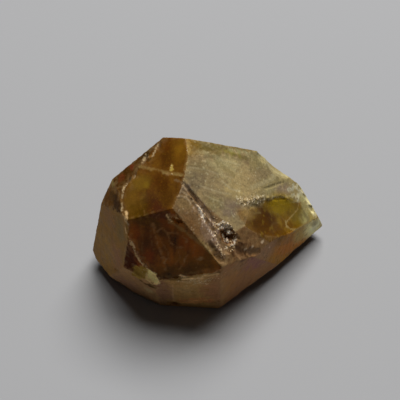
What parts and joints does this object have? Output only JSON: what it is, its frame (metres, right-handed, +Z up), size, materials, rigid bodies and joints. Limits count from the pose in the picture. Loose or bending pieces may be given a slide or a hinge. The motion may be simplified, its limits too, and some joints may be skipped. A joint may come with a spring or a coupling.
{
  "type": "garnet crystal",
  "caption": "Loose grossular garnet crystal, honey brown, part clear and part frosted, with blunt dodecahedral faces, chipped edges and a small healed cavity. It rests on one flat face.",
  "frame": {"origin": "on the plane of the rest face, under the middle of the crystal's box", "axes": "+Z up from the rest face, +X along the crystal's longest extent towards its pointed tip, -Y towards the front corner where the clear and frosted faces meet"},
  "size_m": [0.0416, 0.0287, 0.0291],
  "materials": {
    "garnet": "glassy and see-through honey brown on the clean faces, matt and pale tan on the frosted ones"
  },
  "bodies": {
    "root": {"garnet_crystal": "garnet"}
  },
  "joints": []
}
